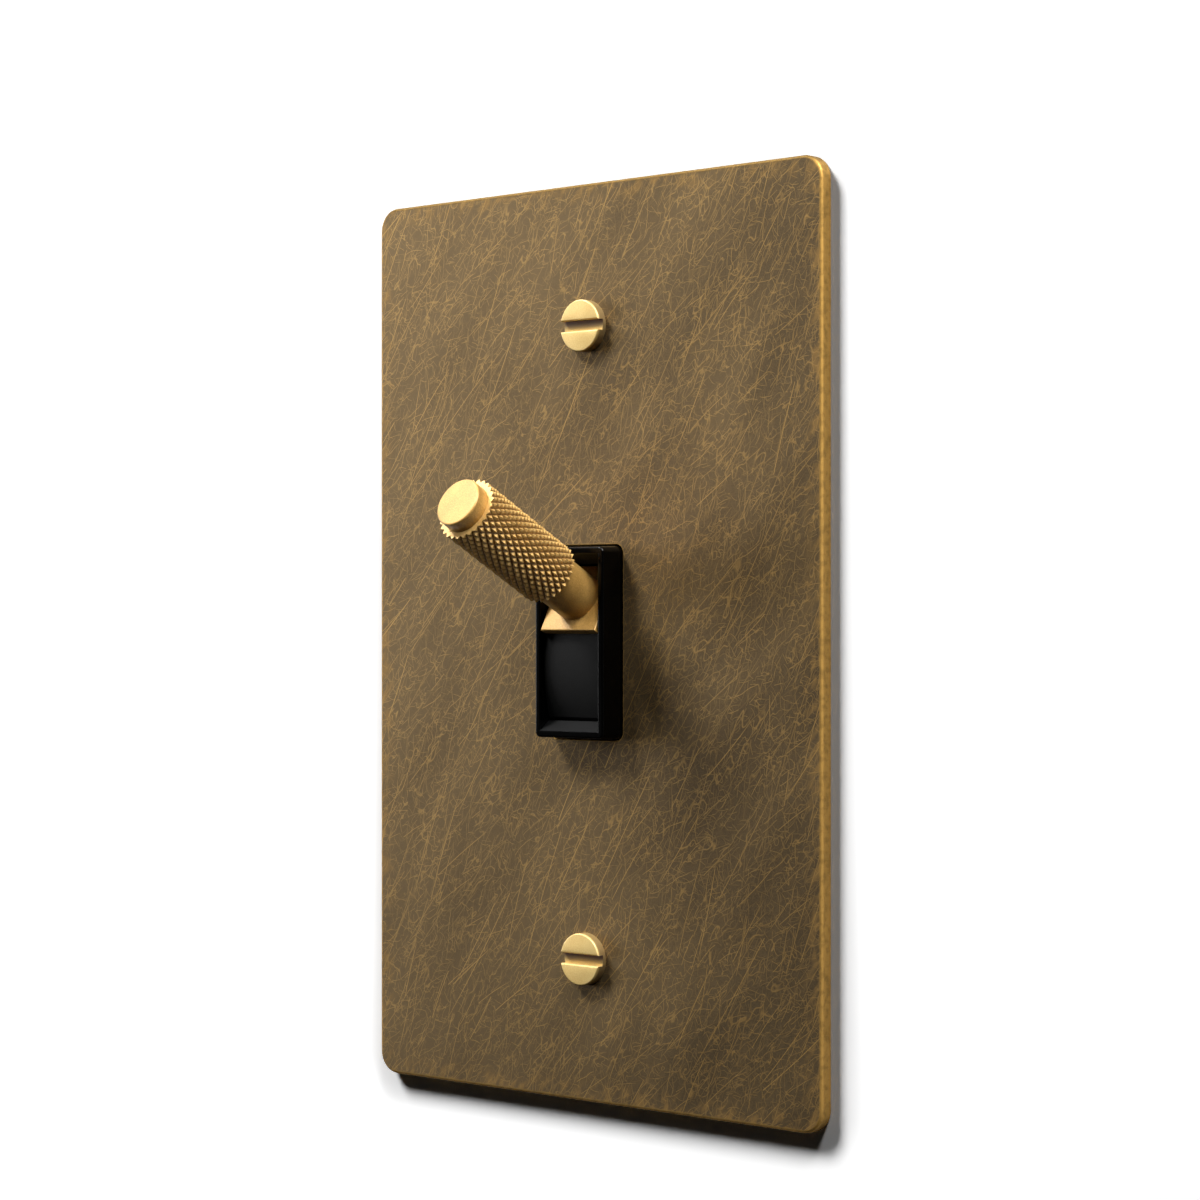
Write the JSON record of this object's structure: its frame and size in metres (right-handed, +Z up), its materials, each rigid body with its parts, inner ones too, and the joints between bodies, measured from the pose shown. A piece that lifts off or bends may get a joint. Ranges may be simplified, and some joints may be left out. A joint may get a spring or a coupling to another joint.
{
  "type": "toggle light switch",
  "caption": "Wall-mounted toggle light switch: patinated brass plate with slotted screws, black bezel and a knurled brass lever that tips a sprung change-over contact behind the plate.",
  "frame": {"origin": "middle of the wall plane: the centre of the plate's back face", "axes": "+X right, +Z up, +Y into the wall; the plate's front and the lever face -Y"},
  "size_m": [0.078, 0.0587, 0.121],
  "materials": {
    "patina_brass": "aged, scratched patina with worn bright edges",
    "satin_brass": "satin lacquered brass",
    "gloss_black": "gloss moulded black",
    "charcoal": "fine-grained matt black moulding",
    "zinc_steel": "zinc-plated pressed steel",
    "dark_moulding": "matt thermoset moulding",
    "terminal_brass": "bright pressed brass",
    "contact_silver": "silver alloy contact",
    "spring_steel": "bright spring wire",
    "earth_green": "green-plated steel screw"
  },
  "bodies": {
    "body": {"faceplate": "patina_brass", "face_screws": "satin_brass", "toggle_frame": "gloss_black", "mounting_yoke": "zinc_steel", "switch_housing": "dark_moulding", "rear_cover": "dark_moulding", "assembly_screws": "zinc_steel", "pivot_pin": "spring_steel", "fixed_contacts": "contact_silver", "common_terminal": "terminal_brass", "upper_terminal": "terminal_brass", "lower_terminal": "terminal_brass", "arm_pin": "spring_steel", "wire_clamps": "zinc_steel", "terminal_screws": "terminal_brass", "earth_screw": "earth_green"},
    "lever": {"rocker": "charcoal", "threaded_insert": "terminal_brass", "lever_base": "satin_brass", "lever_rod": "satin_brass", "knurled_sleeve": "satin_brass", "snap_spring": "spring_steel"},
    "contact_arm": {"contact_arm": "terminal_brass", "moving_contacts": "contact_silver"}
  },
  "joints": [
    {"name": "lever_tilt", "type": "hinge", "parent": "body", "child": "lever", "pos_m": [0, 0.0078, 0], "axis": [1, 0, 0], "range_deg": [0, 55.6], "deforming": ["snap_spring"]},
    {"name": "contact_tilt", "type": "hinge", "parent": "body", "child": "contact_arm", "pos_m": [0, 0.0228, 0], "axis": [1, 0, 0], "range_deg": [0, 18]}
  ],
  "couplings": [
    {"joint": "contact_tilt", "follows": "lever_tilt", "ratio": 0.3237}
  ]
}
